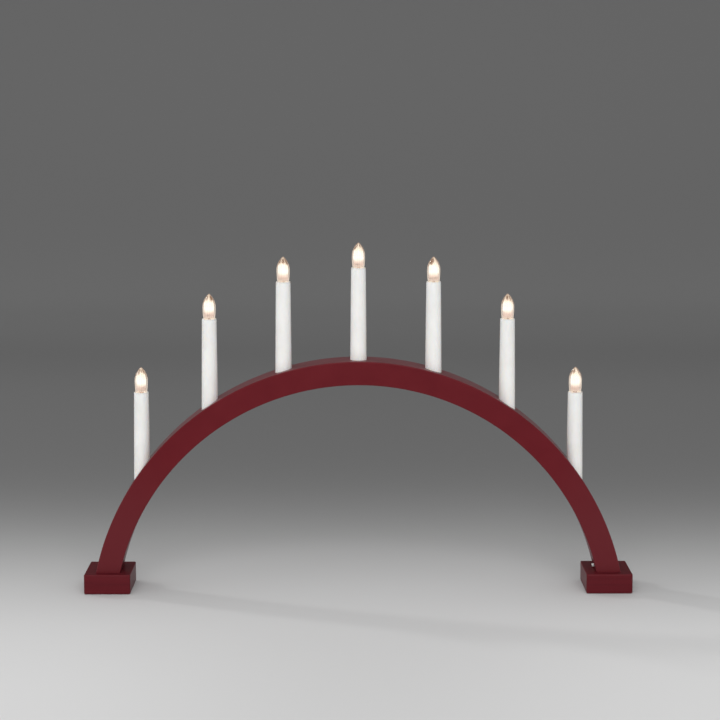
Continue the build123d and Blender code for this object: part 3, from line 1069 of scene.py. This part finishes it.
# %% Lining and core
lining_low, lining_high, lining_gap, lining_sides = 0.0010, 0.0255, 0.00095, 96
lining_heights = [lining_low, 0.0040, 0.0055, 0.0075, 0.0105, 0.0160, 0.0200, lining_high]
lining_tones = [
    (0.60, 0.49, 0.41), (0.58, 0.40, 0.34), (0.66, 0.50, 0.43), (0.75, 0.64, 0.55),
    (0.84, 0.78, 0.70), (0.88, 0.81, 0.72), (0.98, 0.86, 0.72), (0.98, 0.85, 0.70),
]
wedge_tone = np.array([0.15, 0.060, 0.022])
core_low, core_length, core_gap, core_sides = 0.0045, 0.0165, 0.00115, 48
core_shares = [0.0, 0.10, 0.32, 0.75, 0.92, 1.0]
core_tones = [
    (0.30, 0.20, 0.16), (0.42, 0.30, 0.24), (1.0, 0.95, 0.88), (1.0, 0.94, 0.86),
    (0.66, 0.52, 0.40), (0.40, 0.27, 0.19),
]


def tone_between(height, heights, tones):
    """Tone at each height, run evenly between the tones at the given heights, one colour at a time."""
    return np.stack([np.interp(height, heights, colour) for colour in zip(*tones)], axis=-1)


def lining_grid(x, rim, seed):
    """A lining just inside the glass: its outline less the wall and a hair, closed at both ends. Its
    tone is dull and spotted above the neck and pale from the belly up, with dark wedges at the top."""
    rise = np.linspace(lining_low, lining_high, 72)
    turn = once_round(lining_sides)
    radius = np.maximum(envelope(rise) - lining_gap, 0.0)
    radius[0] = radius[-1] = 0.0
    grid = turned(np.stack([radius, rim + rise], axis=-1), x, lining_sides)
    plain = tone_between(rise, lining_heights, lining_tones)
    dark = dark_wedges(rise, turn, seed)[..., None]
    dull = dull_spots(rise, turn, seed)[..., None]
    rib_streaks = 1 + 0.10 * np.cos(ribs * turn)[None, :, None]
    lit = plain[:, None] * rib_streaks * (1 - dull)
    return grid, lit * (1 - dark) + wedge_tone * dark


def core_grid(x, rim):
    """A drop of light round the coil that fills most of the envelope: its radius is the envelope's less
    a little, drawn in to a round end below and above."""
    share = np.linspace(0, 1, 40)
    rise = core_low + core_length * share
    ends = np.clip(np.minimum(share / 0.48, (1 - share) / 0.32), 0, 1)
    radius = (envelope(rise) - core_gap) * np.sqrt(1 - (1 - ends) ** 2)
    radius[0] = radius[-1] = 0.0
    grid = turned(np.stack([radius, rim + rise], axis=-1), x, core_sides)
    tone = tone_between(share, core_shares, core_tones)
    return grid, np.broadcast_to(tone[:, None], grid.shape)


for k, x, rim in lamp_places:
    for title, (grid, tone), finish in (
        ("lining", lining_grid(x, rim, k), lining_glow), ("core", core_grid(x, rim), core_glow),
    ):
        glow = lamp_piece(title, k, grid, finish, "lamp_filament", sharp=80.0, tones=tone)
print("glow faces:", len(glow.data.polygons))

# %% [markdown]
# ## The screws under the feet
#
# Two wood screws come up through each foot, with flat heads in the counterbores. A head's face is a disc
# whose height depends on the place across it: inside a cross it sinks, and a steep but smooth step makes
# the walls of the recess. The thread is the same screw surface as on the lamps, drawn in to a point.

# %% Screws
head_bottom, head_top, head_radius, head_ease = 0.0010, counterbore_depth, 0.0040, 0.0001
head_sides, face_radius = 96, 0.0035
recess_depth, recess_arm, recess_half, recess_step = 0.0014, 0.0022, 0.00045, 0.0001
shank_radius, shank_thread_start, shank_run_in = 0.0020, 0.0150, 0.0020
screw_tip, point_length = 0.0409, 0.0050


def cross_recess(across, along_it):
    """1 inside a cross of two bars and 0 outside it, with a short smooth step at the border."""
    def within(value, half):
        return 1 - smooth_step(np.abs(value), half - recess_step, half + recess_step)

    return np.maximum(
        within(across, recess_arm) * within(along_it, recess_half),
        within(across, recess_half) * within(along_it, recess_arm),
    )


def head_grid(x):
    """A screw's head: a disc with a cross sunk in its face, its eased side, and its top."""
    turn = once_round(head_sides)
    ring = np.linspace(0, face_radius, 34)
    across, along_it = np.outer(ring, np.cos(turn)), np.outer(ring, np.sin(turn))
    sunk = head_bottom + recess_depth * cross_recess(across, along_it)
    face = np.stack([x + across, along_it, sunk], axis=-1)
    side = turned([
        (head_radius - 3 * head_ease, head_bottom), (head_radius - head_ease, head_bottom + head_ease),
        (head_radius, head_bottom + 3 * head_ease), (head_radius, head_top - 2 * head_ease),
        (head_radius - head_ease, head_top), (0.0, head_top),
    ], x, head_sides)
    return np.concatenate([face, side])


def shank_grid(x):
    """A screw's shank: plain first, then threaded, and drawn in to a point."""
    heights = np.linspace(head_top - 2 * head_ease, screw_tip, 220)
    fade = np.clip((heights - shank_thread_start) / shank_run_in, 0, 1)
    shank = threaded(shank_radius, heights, x, fade)
    thin = np.clip((screw_tip - heights) / point_length, 0, 1)[:, None]
    shank[..., 0] = x + (shank[..., 0] - x) * thin
    shank[..., 1] *= thin
    base = shank[:1].copy()
    base[..., :2] = (x, 0.0)
    return np.concatenate([base, shank])


foot_boxes = [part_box(name) for name in ("left_foot", "right_foot")]
foot_middles = [(low.x + high.x) / 2 for low, high in foot_boxes]
screw_parts = [
    (grid + (0.0, y, 0.0), True)
    for x in foot_middles for y in (-screw_offset, screw_offset)
    for grid in (head_grid(x), shank_grid(x))
]
screws = make_piece("screws", screw_parts, zinc_plate, "frame", "zinc_plated_steel", ["foot_screws"])
print("screw faces:", len(screws.data.polygons))

# %% [markdown]
# ## Finishes for the parts that keep their solid shape
#
# The wires in the groove, the contact springs and the cord's inlet bush are simple enough to keep their
# shape from the frame. They only get a finish on their material slots.

# %% Finishes on the frame's own parts
insulation_white = ((0.66, 0.65, 0.62), (0.76, 0.75, 0.72))
wire_white = cloudy_finish("wire_insulation", 400.0, 3.0, insulation_white, (0.45, 0.6))[0]
kept = {
    "cord_inlet_bush": bush_white,
    "link_wires": wire_white,
    "supply_wire": wire_white,
    "return_wire": wire_white,
    **{f"contact_leaf_{k}": plated_brass for k in numbers},
}
for name, finish in kept.items():
    for material_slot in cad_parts[name].material_slots:
        material_slot.material = finish
print("parts with a finish only:", len(kept))

# %% [markdown]
# ## Floor, backdrop and light
#
# The studio has a pale floor that runs up into a grey backdrop in one smooth curve. The light falls off
# towards the back, which the floor's own colour shows here, so that the object itself can be lit evenly.
# Most of the light comes from all round, and a large soft lamp in front adds to it. A weak light from
# far behind on the left and a wide low lamp on the left throw the soft shadows to the right of the feet.

# %% Stage
stage_reach, near_reach = 6.0, 0.8
bend_start, bend_radius = 2.0, 1.2
# The fall from floor to backdrop, its earlier start at the sides, and the paler bend and corners are
# painted light.
floor_tone, wall_tone = 0.683, 0.185
fall_start, fall_length = -0.137, 0.345
bend_lift, bend_fade = 0.05, 0.45
side_start, side_end = 0.17, 0.31
right_advance, left_advance = 0.05, 0.03
corner_width, corner_depth, corner_lift = 0.33, 0.30, 0.10


def stage_grid():
    """Floor and backdrop: a profile that runs level, bends up through a quarter circle and goes on up,
    carried sideways. Its run is the distance along the profile from below the middle of the arch."""
    level = np.concatenate([
        np.linspace(-stage_reach, -near_reach, 12),
        np.linspace(-near_reach, near_reach, 81)[1:],
        np.linspace(near_reach, bend_start, 13)[1:],
    ])
    line = np.concatenate([
        np.stack([level, np.zeros_like(level)], axis=-1),
        rounding((bend_start, bend_radius), bend_radius, -90, 0, 24)[1:],
        [(bend_start + bend_radius, 2.0 * bend_radius)],
    ])
    lengths = np.linalg.norm(np.diff(line, axis=0), axis=1)
    run = np.concatenate([[0.0], np.cumsum(lengths)]) - stage_reach
    across = np.concatenate([[-stage_reach], np.linspace(-near_reach, near_reach, 41), [stage_reach]])
    grid = np.zeros((len(line), len(across), 3))
    grid[..., 0] = across
    grid[..., 1:] = line[:, None]
    return grid, run[:, None]


def paper_grey_with_painted_light(across, run):
    """The grey of the paper, with the fall of the light painted into it: even in front, then falling
    along half a bell curve, e to the minus square of the run past its start, to the grey of the backdrop,
    and painted a little paler where the paper bends up. At the sides the painted fall starts nearer to
    the front, more so on the right, and the front corners are painted paler."""
    advance = right_advance * smooth_step(across, side_start, side_end)
    advance = advance + left_advance * smooth_step(-across, side_start, side_end)
    past_start = np.maximum(run + advance - fall_start, 0.0)
    floor_share = np.exp(-((past_start / fall_length) ** 2))
    bend_share = np.exp(-(((run - bend_start) / bend_fade) ** 2))
    corner = smooth_step(np.abs(across), 0.0, corner_width) * smooth_step(-run, 0.0, corner_depth)
    tone = wall_tone + (floor_tone - wall_tone) * floor_share + bend_lift * bend_share
    return tone * (1.0 + corner_lift * corner)


def studio_paper(name):
    """Matt paper. The attribute named mark carries its grey, with the fall of the light painted into it.
    """
    material, shader = new_finish(name)[:2]
    grey = step(material, "Attribute", attribute_name="mark")["Fac"]
    return feed(material, shader, {"Base Color": grey, "Roughness": 0.8, "Specular IOR Level": 0.2})


paper_points, paper_run = stage_grid()
paper_faces = quads_of(*paper_points.shape[:2], False).tolist()
paper_mesh = bpy.data.meshes.new("studio_paper")
paper_mesh.from_pydata(paper_points.reshape(-1, 3), [], paper_faces)
keep_marks(paper_mesh, paper_grey_with_painted_light(paper_points[..., 0], paper_run))
paper_mesh.shade_smooth()
paper_mesh.materials.append(studio_paper("studio_paper"))
paper = add_object("studio_paper", paper_mesh)
print("stage faces:", len(paper_mesh.polygons))

# %% Lamps
def add_lamp(kind, name, place, target, energy, **settings):
    """A lamp at a place, turned towards a target. The rays of a SUN are those of a light far away, and
    its angle softens their shadows. An AREA lamp has a face with a width and a height."""
    data = bpy.data.lights.new(name, kind)
    data.energy = energy
    for setting, value in settings.items():
        setattr(data, setting, value)
    lamp = add_object(name, data)
    way = np.array(target) - np.array(place)
    lamp.location = place
    lamp.rotation_euler = (
        np.arctan2(np.hypot(way[0], way[1]), -way[2]), 0.0, np.arctan2(way[0], -way[1]) + np.pi,
    )
    return lamp


def soft_lamp(name, place, target, width, height, energy):
    """A soft lamp with a rectangular face."""
    return add_lamp("AREA", name, place, target, energy, shape="RECTANGLE", size=width, size_y=height)


lamps = [
    add_lamp("SUN", "back_light", (-3.6, 1.75, 2.2), (0.0, 0.0, 0.0), 0.40, angle=0.07),
    soft_lamp("front_lamp", (0.1, -3.8, 2.2), (0.0, 0.0, 0.2), 4.0, 4.0, 104.0),
    soft_lamp("left_lamp", (-2.3, -0.1, 0.9), (0.2, 0.0, 0.0), 2.2, 1.0, 7.0),
]
print("lamps:", [lamp.name for lamp in lamps])

# %% Light from all round
air_light, seen_grey = 0.575, 0.135
world = bpy.data.worlds.new("studio_air")
bpy.context.scene.world = world
world.use_nodes = True
air = world.node_tree.nodes["Background"]
feed(world, air, {"Color": (1.0, 1.0, 1.0, 1.0), "Strength": air_light})
# Where the air itself is seen, also in a reflection or through glass, it is a dark grey.
seen_air = step(world, "Background", {"Color": (seen_grey, seen_grey, seen_grey, 1.0)})[0]
ray = step(world, "LightPath")
seen = ray["Is Camera Ray"]
for kind in ("Is Glossy Ray", "Is Transmission Ray"):
    seen = step(world, "Math", {0: seen, 1: ray[kind]}, operation="MAXIMUM")[0]
either = step(world, "MixShader", {0: seen, 1: air.outputs[0], 2: seen_air})[0]
feed(world, world.node_tree.nodes["World Output"], {"Surface": either})
print("light from all round:", air_light)
